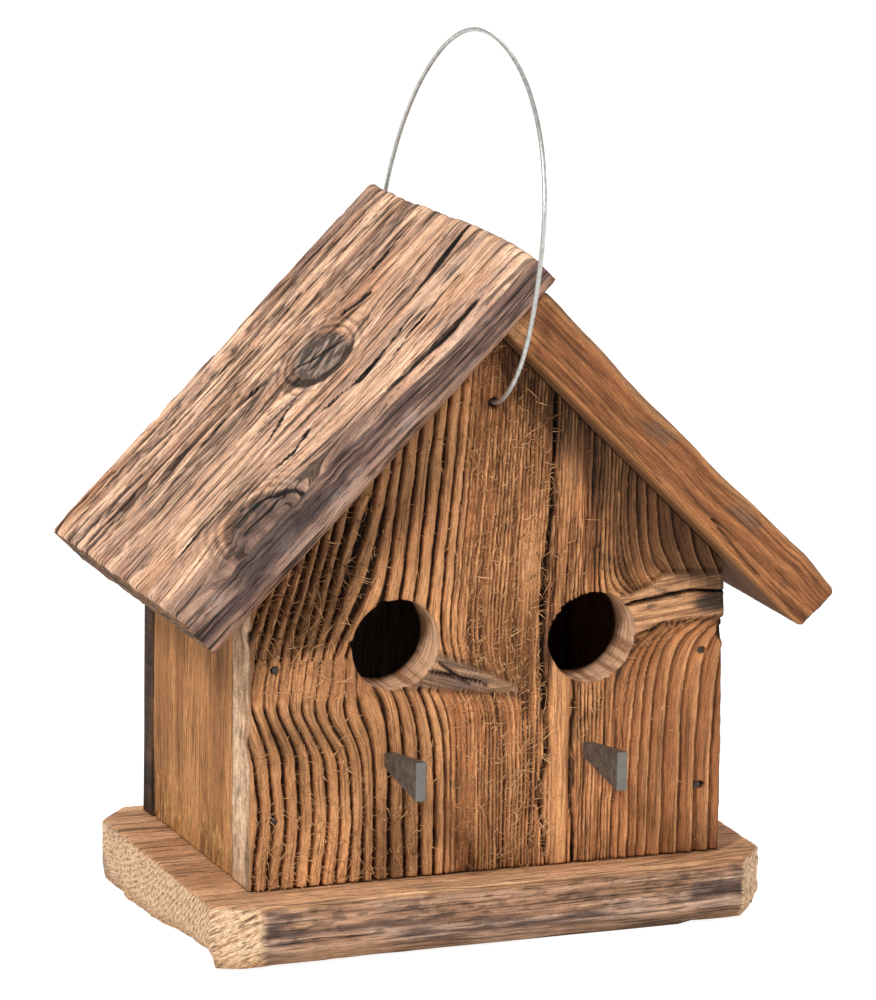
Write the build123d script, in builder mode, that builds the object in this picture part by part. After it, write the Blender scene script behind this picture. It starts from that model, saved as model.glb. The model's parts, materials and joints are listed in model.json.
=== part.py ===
from build123d import *
import os
from math import atan2, cos, hypot, pi, radians, sin, tan

# Rustic birdhouse of reclaimed boards: a gabled body with two entrance holes, two
# steel wedge perches, a lapped board roof and a swinging wire bail.
# Millimetres, +Z up, +X to the right along the front, +Y from the front to the back.
# The origin is on the base's underside, below the middle of the body.

# ---- driving dimensions ---------------------------------------------------
body_width = 190.0
front_thickness = 22.0
back_thickness = 12.0
side_depth = 90.0                # front to back, between the two panels
side_thickness = 20.0
apex_height = 209.7              # from the base's top to the gable's point
apex_x = -2.6                    # the ridge sits a little left of the middle
roof_angle = 45.0                # each slope, from the horizontal

base_thickness = 25.0
base_left_overhang = 19.2
base_right_overhang = 17.5
base_front_overhang = 19.0
base_front_skew = 6.5            # the front edge draws back this much towards the right
base_back_overhang = 6.0
front_left_clip = (19.0, 8.0)    # how much each corner loses along X and along Y
front_right_clip = (12.5, 15.5)
back_right_clip = (14.0, 13.0)
back_left_clip = (13.0, 15.0)

left_roof_thickness = 20.0
right_roof_thickness = 22.0
left_eave_overhang = 20.7        # sideways, from the body to the eave's lower corner
right_eave_overhang = 23.3
ridge_lap = 5.5                  # the left board runs this far past the right one
roof_front_overhang = 19.0
roof_back_overhang = 9.5
right_roof_setback = 1.0         # the right board starts this far behind the left one

entrance_diameter = 35.0
left_entrance = (-37.6, 90.3)    # X, and height above the base's top
right_entrance = (41.1, 87.3)

perch_thickness = 4.0
perch_length = 33.0              # outside the panel
perch_end_height = 15.0
perch_wall_height = 5.5          # where it enters the panel
perch_tip_height = 1.0
perch_edge = 0.4                 # worn edge around the outer end
left_perch = (-39.7, 46.8)
right_perch = (40.2, 44.2)

wire_diameter = 1.8
wire_clearance = 0.3             # radial, in the two pivot holes
wire_pivot_drop = 29.9           # from the gable's point down to the pivot axis
wire_lean = 7.0                  # degrees that the bail leans to the right at rest
wire_crown = 131.0               # height of the bail's top above its pivot
wire_front_shoulder = 60.0       # height at which each leg turns into the arch
wire_back_shoulder = 38.0
wire_front_gap = 5.1             # between a leg and the roof's edge beside it
wire_back_gap = 3.0
wire_exit = 3.5                  # straight stretch outside each panel
wire_elbow = 21.0                # height at which the lower bend meets the leg
wire_exit_radius = 6.0
wire_elbow_radius = 24.0
wire_hook = 9.0                  # turned-up end inside the house
wire_hook_radius = 3.0
wire_hook_gap = 4.0              # from a panel's inner face to the turned-up end

nail_diameter = 1.6
nail_head_diameter = 2.4
nail_head_height = 1.0
nail_set = 1.2                   # each head is punched this far below the wood
front_nail_length = 42.0
back_nail_length = 34.0
roof_nail_length = 44.0
low_nail_height = 26.5           # above the base's top
high_nail_drop = 43.0            # below the roof's underside
roof_nails_down = (38.0, 112.0)  # along the slope from the gable's point
ridge_nail_spacing = 50.0

screw_diameter = 3.5
screw_head_diameter = 7.0
screw_head_height = 3.0
screw_length = 45.0
screw_slot = (4.4, 0.9, 1.5)     # the cross recess's length, width and depth

# ---- places worked out from them ------------------------------------------
slope_cos = cos(radians(roof_angle))
slope_sin = sin(radians(roof_angle))
half_width = body_width / 2
body_depth = front_thickness + side_depth + back_thickness
front_y = -body_depth / 2
back_y = body_depth / 2
front_inner_y = front_y + front_thickness
back_inner_y = back_y - back_thickness
roof_front_y = front_y - roof_front_overhang
roof_back_y = back_y + roof_back_overhang

base_top = base_thickness
apex_z = base_top + apex_height
pivot_z = apex_z - wire_pivot_drop


def under_roof(x):
    """Height of the roof's underside above a place across the body."""
    return apex_z - abs(x - apex_x) * tan(radians(roof_angle))


def slope_point(side, down, lift):
    """X and Z of a place on a slope (side -1 is left, 1 is right).

    down runs along the slope from the gable's point, lift is above the underside.
    """
    x = apex_x + side * (down * slope_cos + lift * slope_sin)
    return x, apex_z - down * slope_sin + lift * slope_cos


def facing_front(y):
    """A sketch plane at depth y that looks forward; its X and Y are X and Z."""
    return Plane(origin=(0, y, 0), x_dir=(1, 0, 0), z_dir=(0, -1, 0))


def finish(builder, name):
    """Label a finished piece and write its STEP file."""
    builder.part.label = name
    export_step(builder.part, "parts/" + name + ".step")


os.makedirs("parts", exist_ok=True)

# ---- fasteners -------------------------------------------------------------


def make_nail(length, head_top):
    """One finishing nail along Z, its point below and the wood's surface at Z = 0."""
    head_bottom = -nail_set - nail_head_height
    with BuildPart() as nail:
        with BuildSketch(Plane.XY.offset(head_top)):
            Circle(nail_head_diameter / 2)
        extrude(amount=head_bottom - head_top)
        with BuildSketch(Plane.XY.offset(head_bottom)):
            Circle(nail_diameter / 2)
        extrude(amount=-length)
    return nail.part


def make_screw(slotted):
    """One countersunk screw along Z, with its head's flat at the origin."""
    with BuildPart() as screw:
        with BuildSketch(Plane.XZ):
            with BuildLine():
                Polyline(
                    (0, 0),
                    (screw_head_diameter / 2, 0),
                    (screw_diameter / 2, -screw_head_height),
                    (screw_diameter / 2, screw_diameter - screw_length),
                    (0, -screw_length),
                    close=True,
                )
            make_face()
        revolve(axis=Axis.Z)
        if slotted:
            slot_length, slot_width, slot_depth = screw_slot
            with BuildSketch(Plane.XY):
                Rectangle(slot_length, slot_width)
                Rectangle(slot_width, slot_length)
            extrude(amount=-slot_depth, mode=Mode.SUBTRACT)
    return screw.part


def placed(fastener, places):
    """Copies of a fastener at places whose Z axis points out of the wood."""
    with BuildPart() as group:
        with Locations(*places):
            add(fastener)
    return group


def drive_nails(length, places, name):
    """Write a group of punched nails, and return the holes that they leave."""
    finish(placed(make_nail(length, head_top=-nail_set), places), name)
    return placed(make_nail(length, head_top=0), places)


def roof_place(side, down, lift, y):
    """A place on a roof board's top, facing square out of the slope."""
    x, z = slope_point(side, down, lift)
    return Plane(origin=(x, y, z), z_dir=(side * slope_sin, 0, slope_cos))


nail_x = half_width - side_thickness / 2
nail_spots = [
    (x, z)
    for x in (-nail_x, nail_x)
    for z in (base_top + low_nail_height, under_roof(x) - high_nail_drop)
]
panel_middles = (front_y + front_thickness / 2, back_y - back_thickness / 2)
roof_spots = [(down, y) for down in roof_nails_down for y in panel_middles]
roof_middle_y = (roof_front_y + roof_back_y) / 2
ridge_nail_ys = [roof_middle_y + i * ridge_nail_spacing for i in (-1, 0, 1)]
ridge_reach = right_roof_thickness / sin(2 * radians(roof_angle))

front_nail_holes = drive_nails(
    front_nail_length,
    [Plane(origin=(x, front_y, z), z_dir=(0, -1, 0)) for x, z in nail_spots],
    "front_nails",
)
back_nail_holes = drive_nails(
    back_nail_length,
    [Plane(origin=(x, back_y, z), z_dir=(0, 1, 0)) for x, z in nail_spots],
    "back_nails",
)
left_roof_nail_holes = drive_nails(
    roof_nail_length,
    [roof_place(-1, down, left_roof_thickness, y) for down, y in roof_spots],
    "roof_nails_left",
)
right_roof_nail_holes = drive_nails(
    roof_nail_length,
    [roof_place(1, down, right_roof_thickness, y) for down, y in roof_spots],
    "roof_nails_right",
)
# The ridge nails go through the left board's lap into the right board's upper end.
ridge_nail_holes = drive_nails(
    roof_nail_length,
    [roof_place(-1, -ridge_reach / 2, left_roof_thickness, y) for y in ridge_nail_ys],
    "ridge_nails",
)

side_middle_y = (front_inner_y + back_inner_y) / 2
screw_places = [
    Plane(origin=(x, side_middle_y + i * side_depth / 4, 0), z_dir=(0, 0, -1))
    for x in (-nail_x, nail_x)
    for i in (-1, 1)
]
finish(placed(make_screw(slotted=True), screw_places), "base_screws")
screw_holes = placed(make_screw(slotted=False), screw_places)

# ---- perches ---------------------------------------------------------------
perch_taper = (perch_end_height - perch_wall_height) / perch_length
perch_inside = (perch_wall_height - perch_tip_height) / perch_taper


def make_perch(place, name):
    """A steel wedge driven thin end first into the front panel."""
    x, height = place
    with BuildPart() as perch:
        at_wall = (x, front_y, base_top + height)
        with BuildSketch(Plane(origin=at_wall, x_dir=(0, 1, 0), z_dir=(1, 0, 0))):
            with BuildLine():
                Polyline(
                    (-perch_length, -perch_end_height / 2),
                    (perch_inside, -perch_tip_height / 2),
                    (perch_inside, perch_tip_height / 2),
                    (-perch_length, perch_end_height / 2),
                    close=True,
                )
            make_face()
        extrude(amount=perch_thickness / 2, both=True)
        chamfer(perch.faces().sort_by(Axis.Y)[0].edges(), perch_edge)
    finish(perch, name)
    return perch


perch_left = make_perch(left_perch, "perch_left")
perch_right = make_perch(right_perch, "perch_right")

# ---- base ------------------------------------------------------------------
base_left_x = -half_width - base_left_overhang
base_right_x = half_width + base_right_overhang
base_front_left_y = front_y - base_front_overhang
base_front_right_y = base_front_left_y + base_front_skew
base_back_y = back_y + base_back_overhang

with BuildPart() as base_board:
    with BuildSketch(Plane.XY):
        with BuildLine():
            Polyline(
                (base_left_x, base_front_left_y + front_left_clip[1]),
                (base_left_x + front_left_clip[0], base_front_left_y),
                (base_right_x - front_right_clip[0], base_front_right_y),
                (base_right_x, base_front_right_y + front_right_clip[1]),
                (base_right_x, base_back_y - back_right_clip[1]),
                (base_right_x - back_right_clip[0], base_back_y),
                (base_left_x + back_left_clip[0], base_back_y),
                (base_left_x, base_back_y - back_left_clip[1]),
                close=True,
            )
        make_face()
    extrude(amount=base_thickness)
    add(screw_holes.part, mode=Mode.SUBTRACT)
finish(base_board, "base_board")

# ---- body ------------------------------------------------------------------
gable_outline = [
    (-half_width, base_top),
    (half_width, base_top),
    (half_width, under_roof(half_width)),
    (apex_x, apex_z),
    (-half_width, under_roof(-half_width)),
]
wire_hole_radius = wire_diameter / 2 + wire_clearance

roof_nail_holes = (left_roof_nail_holes, right_roof_nail_holes)

with BuildPart() as front_panel:
    with BuildSketch(facing_front(front_inner_y)):
        with BuildLine():
            Polyline(*gable_outline, close=True)
        make_face()
        with Locations((left_entrance[0], base_top + left_entrance[1])):
            Circle(entrance_diameter / 2, mode=Mode.SUBTRACT)
        with Locations((right_entrance[0], base_top + right_entrance[1])):
            Circle(entrance_diameter / 2, mode=Mode.SUBTRACT)
        with Locations((0, pivot_z)):
            Circle(wire_hole_radius, mode=Mode.SUBTRACT)
    extrude(amount=front_thickness)
    for driven_in in (front_nail_holes, *roof_nail_holes, perch_left, perch_right):
        add(driven_in.part, mode=Mode.SUBTRACT)
finish(front_panel, "front_panel")

with BuildPart() as back_panel:
    with BuildSketch(facing_front(back_y)):
        with BuildLine():
            Polyline(*gable_outline, close=True)
        make_face()
        with Locations((0, pivot_z)):
            Circle(wire_hole_radius, mode=Mode.SUBTRACT)
    extrude(amount=back_thickness)
    for driven_in in (back_nail_holes, *roof_nail_holes):
        add(driven_in.part, mode=Mode.SUBTRACT)
finish(back_panel, "back_panel")

for side, name in ((-1, "left_side"), (1, "right_side")):
    outer_x = side * half_width
    inner_x = side * (half_width - side_thickness)
    with BuildPart() as side_board:
        with BuildSketch(facing_front(back_inner_y)):
            with BuildLine():
                Polyline(
                    (outer_x, base_top),
                    (inner_x, base_top),
                    (inner_x, under_roof(inner_x)),
                    (outer_x, under_roof(outer_x)),
                    close=True,
                )
            make_face()
        extrude(amount=side_depth)
        for driven_in in (front_nail_holes, back_nail_holes, screw_holes):
            add(driven_in.part, mode=Mode.SUBTRACT)
    finish(side_board, name)

# ---- roof ------------------------------------------------------------------
left_roof_down = (half_width + apex_x + left_eave_overhang) / slope_cos
right_roof_down = (half_width - apex_x + right_eave_overhang) / slope_cos
left_roof_top = -(ridge_reach + ridge_lap)

with BuildPart() as roof_board_left:
    with BuildSketch(facing_front(roof_back_y)):
        with BuildLine():
            Polyline(
                slope_point(-1, left_roof_top, 0),
                slope_point(-1, left_roof_down, 0),
                slope_point(-1, left_roof_down, left_roof_thickness),
                slope_point(-1, left_roof_top, left_roof_thickness),
                close=True,
            )
        make_face()
    extrude(amount=roof_back_y - roof_front_y)
    for driven_in in (left_roof_nail_holes, ridge_nail_holes):
        add(driven_in.part, mode=Mode.SUBTRACT)
finish(roof_board_left, "roof_board_left")

# The right board's upper end lies against the left board's underside.
with BuildPart() as roof_board_right:
    with BuildSketch(facing_front(roof_back_y)):
        with BuildLine():
            Polyline(
                (apex_x, apex_z),
                slope_point(-1, -ridge_reach, 0),
                slope_point(1, right_roof_down, right_roof_thickness),
                slope_point(1, right_roof_down, 0),
                close=True,
            )
        make_face()
    extrude(amount=roof_back_y - roof_front_y - right_roof_setback)
    for driven_in in (right_roof_nail_holes, ridge_nail_holes):
        add(driven_in.part, mode=Mode.SUBTRACT)
finish(roof_board_right, "roof_board_right")

# ---- hanging wire ----------------------------------------------------------
# Its plane holds the pivot axis: the plane's X is +Y, its Y is up along the bail.
lean_sin = sin(radians(wire_lean))
lean_cos = cos(radians(wire_lean))
bail_plane = Plane(origin=(0, 0, pivot_z), x_dir=(0, 1, 0), z_dir=(lean_cos, 0, -lean_sin))
front_leg_y = roof_front_y - wire_front_gap - wire_diameter / 2
back_leg_y = roof_back_y + wire_back_gap + wire_diameter / 2
arch_middle_y = (front_leg_y + back_leg_y) / 2
arc_share = 0.45                 # of a haunch's length, taken by the arc at each end


def half_arch(leg_y, shoulder):
    """Haunch and crown corners on one side of the arch, and the radii of their arcs.

    Each side is a quarter ellipse, drawn by its tangents up the leg, across the
    crown, and on the haunch where it touches the ellipse halfway round.
    """
    rise = wire_crown - shoulder
    reach = leg_y - arch_middle_y
    haunch = (leg_y, shoulder + rise * tan(pi / 8))
    crown = (arch_middle_y + reach * tan(pi / 8), wire_crown)
    slope = atan2(rise, abs(reach))
    tangent = arc_share * hypot(haunch[0] - crown[0], haunch[1] - crown[1])
    return (haunch, crown), (tangent / tan((pi / 2 - slope) / 2), tangent / tan(slope / 2))


front_corners, front_radii = half_arch(front_leg_y, wire_front_shoulder)
back_corners, back_radii = half_arch(back_leg_y, wire_back_shoulder)
front_hook_y = front_inner_y + wire_hook_gap
back_hook_y = back_inner_y - wire_hook_gap
bail_corners = [
    (front_hook_y, wire_hook),
    (front_hook_y, 0),
    (front_y - wire_exit, 0),
    (front_leg_y, wire_elbow),
    *front_corners,
    *back_corners[::-1],
    (back_leg_y, wire_elbow),
    (back_y + wire_exit, 0),
    (back_hook_y, 0),
    (back_hook_y, wire_hook),
]
lower_radii = (wire_hook_radius, wire_exit_radius, wire_elbow_radius)
bail_radii = [*lower_radii, *front_radii, *back_radii[::-1], *lower_radii[::-1]]

with BuildPart() as hanging_wire:
    with BuildLine(bail_plane) as bail_route:
        FilletPolyline(*bail_corners, radius=bail_radii)
    route = bail_route.wires()[0]
    with BuildSketch(Plane(origin=route @ 0, z_dir=route % 0)):
        Circle(wire_diameter / 2)
    sweep(path=route)
finish(hanging_wire, "hanging_wire")

print("wire volume over section times length:")
print(hanging_wire.part.volume / (pi * (wire_diameter / 2) ** 2 * route.length))
print("bail radii:", [round(radius, 1) for radius in bail_radii])
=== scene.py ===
# A rustic birdhouse of brushed, weathered boards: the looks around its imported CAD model.
# Lengths are in millimetres until a mesh is written, and the frame is the CAD model's own:
# +X right, +Y to the back, +Z up, with the origin under the middle of the base board.
import json
import math

import bpy
import numpy as np
from mathutils import Matrix, Vector
from mathutils.geometry import delaunay_2d_cdt


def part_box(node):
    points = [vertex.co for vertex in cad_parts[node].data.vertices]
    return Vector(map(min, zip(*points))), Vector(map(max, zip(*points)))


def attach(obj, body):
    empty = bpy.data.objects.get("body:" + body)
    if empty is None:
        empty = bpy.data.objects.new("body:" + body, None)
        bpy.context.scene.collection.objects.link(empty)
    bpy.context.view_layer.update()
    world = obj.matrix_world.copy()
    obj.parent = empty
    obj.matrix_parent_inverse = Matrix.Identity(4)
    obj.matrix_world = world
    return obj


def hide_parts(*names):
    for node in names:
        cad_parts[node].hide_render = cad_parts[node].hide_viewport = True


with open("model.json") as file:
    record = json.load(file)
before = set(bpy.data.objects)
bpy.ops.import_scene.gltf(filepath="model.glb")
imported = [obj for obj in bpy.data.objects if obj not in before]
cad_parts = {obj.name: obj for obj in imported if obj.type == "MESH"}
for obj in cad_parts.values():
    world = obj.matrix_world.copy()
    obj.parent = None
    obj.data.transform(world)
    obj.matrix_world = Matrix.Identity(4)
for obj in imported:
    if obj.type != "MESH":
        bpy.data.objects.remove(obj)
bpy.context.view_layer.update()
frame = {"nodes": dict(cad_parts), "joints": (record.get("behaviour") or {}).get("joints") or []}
MM = 0.001
SLOPE = math.sqrt(0.5)               # sine and cosine of the roof's 45 degrees


def corners_mm(node):
    """A CAD node's lowest and highest corners, in millimetres."""
    low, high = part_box(node)
    return np.array(low) / MM, np.array(high) / MM


# ---- number fields ----

def value_noise(x, y, seed):
    """Smooth noise from 0 to 1, one bump to a unit."""
    xi, yi = np.floor(x).astype(np.int64), np.floor(y).astype(np.int64)
    u, v = x - xi, y - yi
    u, v = u * u * (3 - 2 * u), v * v * (3 - 2 * v)

    def corner(i, j):
        h = (i * 374761393 + j * 668265263 + seed * 974634777) & 0x7FFFFFFF
        h = ((h ^ (h >> 13)) * 1274126177) & 0x7FFFFFFF
        return ((h ^ (h >> 16)) & 0xFFFF) / 65535.0

    low = corner(xi, yi) * (1 - u) + corner(xi + 1, yi) * u
    high = corner(xi, yi + 1) * (1 - u) + corner(xi + 1, yi + 1) * u
    return low * (1 - v) + high * v


def noise(x, y, seed, octaves=3):
    """Smooth noise from 0 to 1 with finer layers on it."""
    total, weight, size = 0, 0.5, 1.0
    for k in range(octaves):
        total += weight * value_noise(x * size, y * size, seed + 17 * k)
        weight, size = weight / 2, size * 2
    return total / (1 - 0.5 ** octaves)


def smooth(low, high, x):
    """0 below low, 1 above high, and smooth between."""
    f = np.clip((x - low) / (high - low), 0, 1)
    return f * f * (3 - 2 * f)


def bell(x, width):
    """1 at 0, falling away to both sides."""
    return np.exp(-(x / width) ** 2)


def fading(distance, reach):
    """1 at a distance of 0 or less, falling away over the reach."""
    return np.exp(-np.maximum(distance, 0) / reach)


def mix(a, b, f):
    """a where f is 0, b where f is 1."""
    return a * (1 - f) + b * f


def line_distance(s, t, points):
    """How far each (s, t) is from a line through the points, and how far along it, from 0 to 1."""
    best = np.full(np.shape(s), 1e9)
    along = np.zeros(np.shape(s))
    runs = len(points) - 1
    for k in range(runs):
        (s0, t0), (s1, t1) = points[k], points[k + 1]
        ds, dt = s1 - s0, t1 - t0
        f = np.clip(((s - s0) * ds + (t - t0) * dt) / (ds * ds + dt * dt), 0, 1)
        distance = np.hypot(s - s0 - f * ds, t - t0 - f * dt)
        nearer = distance < best
        best = np.where(nearer, distance, best)
        along = np.where(nearer, (k + f) / runs, along)
    return best, along


def crack(s, t, points, width, seed=5):
    """1 in the middle of a crack, 0 outside it. It tapers at both ends and wanders a little."""
    ds = 0.8 * (noise(s / 6, t / 6, seed) - 0.5)
    distance, along = line_distance(s + ds, t - ds, points)
    half = 0.5 * width * np.sin(np.pi * np.clip(along, 0.02, 0.98)) ** 0.5
    return 1 - smooth(0.5 * half, half + 0.35, distance)


def colour(red, green, blue):
    """A display colour, 0 to 255, as linear light."""
    c = np.array([red, green, blue]) / 255
    return np.where(c < 0.04045, c / 12.92, ((c + 0.055) / 1.055) ** 2.4)


def blend(a, b, f):
    """Colour a where f is 0, b where f is 1. A plain (red, green, blue) is a display colour."""
    a, b = (colour(*c) if isinstance(c, tuple) else c for c in (a, b))
    return mix(a, b, np.clip(f, 0, 1)[..., None])


def repaint(tint, *parts):
    """Gives each masked part of a board its own colour."""
    for mask, own in parts:
        own = colour(*own) if isinstance(own, tuple) else own
        tint = np.where(mask[:, None], own, tint)
    return tint


# ---- board meshes ----

FACE, WALL, BORE, BACK = range(4)
NEAR, FAR_S, FAR_T, START = range(4)   # the outline's sides: low t, high s, high t, low s


def stations(stops, cell):
    """Even steps no longer than about cell, with every stop among them."""
    parts = [
        np.linspace(a, b, max(1, round((b - a) / cell)), endpoint=False)
        for a, b in zip(stops[:-1], stops[1:])
    ]
    return np.append(np.concatenate(parts), stops[-1])


class Board:
    """A closed board on a grid: a fine face, walls and a plain back.

    s and t run in the face, from the outline's low(s) to its high(s), and d is the depth
    under the face. Points keep their first place in s, t, d for the fields to be read at."""

    def __init__(self, stops, low, high, thickness, cell, rows, wall_steps, holes=()):
        self.thickness = thickness
        self.low, self.high = low, high
        line = stations(stops, cell)
        self.outline = self.outline_points(stops)
        s = np.repeat(line[:, None], rows + 1, 1)
        share = np.linspace(0, 1, rows + 1)[None, :]
        t = low(s) + (high(s) - low(s)) * share
        count_s, count_t = s.shape
        index = np.arange(s.size).reshape(s.shape)
        quads = np.stack([index[:-1, :-1], index[1:, :-1], index[1:, 1:], index[:-1, 1:]], -1)
        quads = quads.reshape(-1, 4)
        s, t = s.ravel(), t.ravel()
        hole_loops = []
        for cs, ct, radius in holes:
            quads, loop = self.cut_hole(s, t, quads, cs, ct, radius, cell)
            hole_loops.append(loop)
        around = np.concatenate([index[:-1, 0], index[-1, :-1], index[:0:-1, -1], index[0, :0:-1]])
        sides = np.repeat([NEAR, FAR_S, FAR_T, START],
                          [count_s - 1, count_t - 1, count_s - 1, count_t - 1])
        self.s, self.t = [s], [t]
        self.d, self.kind = [np.zeros(s.size)], [np.full(s.size, FACE)]
        self.side = [np.full(s.size, -1)]
        self.count = s.size
        self.quads, self.quad_uvs = [quads], [np.stack([s[quads], t[quads]], -1)]
        self.strip = max(np.ptp(s), 40.0)
        self.strip_top = t.max() + 3
        depths = np.linspace(0, thickness, wall_steps + 1)[1:]
        outer = self.add_wall(s, t, around, sides, depths, WALL, False)
        inner = [
            self.add_wall(s, t, loop, np.full(len(loop), -1), depths, BORE, True)
            for loop in hole_loops
        ]
        self.join()
        self.add_back(outer, inner, holes)

    def outline_points(self, stops):
        low = [(x, float(self.low(np.array(x)))) for x in stops]
        high = [(x, float(self.high(np.array(x)))) for x in stops[::-1]]
        return low + high

    @staticmethod
    def cut_hole(s, t, quads, cs, ct, radius, cell):
        """Drops the cells in a round hole and brings its border onto the circle."""

        def onto_circle(which):
            angle = np.arctan2(t[which] - ct, s[which] - cs)
            s[which] = cs + radius * np.cos(angle)
            t[which] = ct + radius * np.sin(angle)

        distance = np.hypot(s - cs, t - ct)
        onto_circle(np.abs(distance - radius) < 0.5 * cell)
        distance = np.hypot(s - cs, t - ct)
        inside = distance < radius - 1e-6
        dropped = inside[quads].any(1)
        gone, kept = quads[dropped], quads[~dropped]
        border = np.intersect1d(gone.ravel(), kept.ravel())
        onto_circle(border)
        angle = np.arctan2(t[border] - ct, s[border] - cs)
        return kept, border[np.argsort(angle)]

    def add_wall(self, s, t, loop, sides, depths, kind, inward):
        """Rings of points down from a loop of the face, and the cells between them."""
        ls, lt = s[loop], t[loop]
        step = np.hypot(np.roll(ls, -1) - ls, np.roll(lt, -1) - lt)
        start = np.concatenate([[0], np.cumsum(step)[:-1]])
        rows = [loop]
        for depth in depths:
            rows.append(np.arange(self.count, self.count + len(loop)))
            self.count += len(loop)
            self.s.append(ls)
            self.t.append(lt)
            self.d.append(np.full(len(loop), depth))
            self.kind.append(np.full(len(loop), kind))
            self.side.append(sides)
        levels = np.concatenate([[0], depths])
        row = np.floor(start / self.strip)
        base = self.strip_top + row * (self.thickness + 3)
        u0 = start - row * self.strip + s.min()
        for k in range(len(depths)):
            a, b = rows[k], rows[k + 1]
            a1, b1 = np.roll(a, -1), np.roll(b, -1)
            u1 = u0 + step
            v0, v1 = base + levels[k], base + levels[k + 1]
            corners = [(a1, u1, v0), (a, u0, v0), (b, u0, v1), (b1, u1, v1)]
            if inward:
                corners = [corners[i] for i in (1, 0, 3, 2)]
            self.quads.append(np.stack([c[0] for c in corners], -1))
            self.quad_uvs.append(np.stack([np.stack([c[1], c[2]], -1) for c in corners], 1))
        self.strip_top = base.max() + self.thickness + 3
        return rows[-1]

    def join(self):
        for name in ("s", "t", "d", "kind", "side"):
            setattr(self, name, np.concatenate(getattr(self, name)))
        self.quads = np.concatenate(self.quads)
        self.quad_uvs = np.concatenate(self.quad_uvs)

    def add_back(self, outer, inner, holes):
        """Closes the back with plain triangles between the walls' last rings."""
        spacing = 9.0
        s_line = np.arange(self.s.min() + spacing, self.s.max() - 2, spacing)
        t_line = np.arange(self.t.min() + spacing, self.t.max() - 2, spacing)
        gs, gt = (g.ravel() for g in np.meshgrid(s_line, t_line))
        keep = (gt > self.low(gs) + 4) & (gt < self.high(gs) - 4)
        for cs, ct, radius in holes:
            keep &= np.hypot(gs - cs, gt - ct) > radius + 4
        gs, gt = gs[keep], gt[keep]
        rings = [outer] + list(inner)
        fixed = np.concatenate(rings)
        points = [Vector(p) for p in zip(self.s[fixed], self.t[fixed])]
        points += [Vector(p) for p in zip(gs, gt)]
        edges, first = [], 0
        for ring in rings:
            n = len(ring)
            edges += [(first + k, first + (k + 1) % n) for k in range(n)]
            first += n
        found = delaunay_2d_cdt(points, edges, [list(range(len(outer)))], 1, 1e-7)
        vertices, triangles, origins = found[0], found[2], found[3]
        number = np.zeros(len(vertices), int)
        for k, origin in enumerate(origins):
            number[k] = origin[0]
        tri = np.array([list(f) for f in triangles])
        vs = np.array([tuple(v) for v in vertices])
        middle = vs[tri].mean(1)
        keep = np.ones(len(tri), bool)
        for cs, ct, radius in holes:
            keep &= np.hypot(middle[:, 0] - cs, middle[:, 1] - ct) > radius * 0.995
        tri = tri[keep]
        a, b, c = (vs[tri[:, k]] for k in range(3))
        turn = (b - a)[:, 0] * (c - a)[:, 1] - (b - a)[:, 1] * (c - a)[:, 0]
        tri = np.where((turn > 0)[:, None], tri[:, ::-1], tri)
        tri = tri[np.abs(turn) > 1e-9]
        lookup = np.concatenate([fixed, np.arange(self.count, self.count + len(gs))])
        self.triangles = lookup[number[tri]]
        n = len(gs)
        added = {"s": gs, "t": gt, "d": np.full(n, self.thickness),
                 "kind": np.full(n, BACK), "side": np.full(n, -1)}
        for name, values in added.items():
            setattr(self, name, np.concatenate([getattr(self, name), values]))
        self.count += n
        back = np.stack([self.s, self.t], -1)[self.triangles]
        shrink = 0.4
        place = np.array([self.s.min(), self.strip_top])
        self.triangle_uvs = (back - back.reshape(-1, 2).min(0)) * shrink + place

    def edge_frames(self):
        """Each side of the outline as a point on it and the direction that leads in."""
        middle = np.mean(self.outline, 0)
        for k, (s0, t0) in enumerate(self.outline):
            s1, t1 = self.outline[(k + 1) % len(self.outline)]
            along = np.array([s1 - s0, t1 - t0])
            size = np.hypot(*along)
            if size > 1e-6:
                lead = np.array([-along[1], along[0]]) / size
                if lead @ (middle - np.array([s0, t0])) < 0:
                    lead = -lead
                yield np.array([s0, t0]), lead

    def shape(self, relief, front_round, back_round, slide=None, lean=None):
        """Carves the face by relief, rounds every edge, and slides points inward."""
        depth = self.thickness
        s, t, d = self.s.copy(), self.t.copy(), self.d.copy()
        if lean is not None:
            share = (self.t - self.low(self.s)) / (self.high(self.s) - self.low(self.s))
            t += lean * d * share
        if slide is not None:
            ds, dt = slide
            s, t = s + ds, t + dt
        d += relief * (1 - d / depth)
        for point, lead in self.edge_frames():
            a = (self.s - point[0]) * lead[0] + (self.t - point[1]) * lead[1]
            for radius, b, way in ((front_round, self.d, 1), (back_round, depth - self.d, -1)):
                near = (a < radius) & (b < radius)
                da, db = a - radius, b - radius
                size = np.maximum(np.hypot(da, db), 1e-9)
                pull = np.where(near, np.minimum(radius / size - 1, 0), 0)
                s += pull * da * lead[0]
                t += pull * da * lead[1]
                d += way * pull * db
        self.place = (s, t, d)

    def on_sides(self, *sides):
        """The walls along some of the outline's sides."""
        return (self.kind == WALL) & np.isin(self.side, sides)

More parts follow.
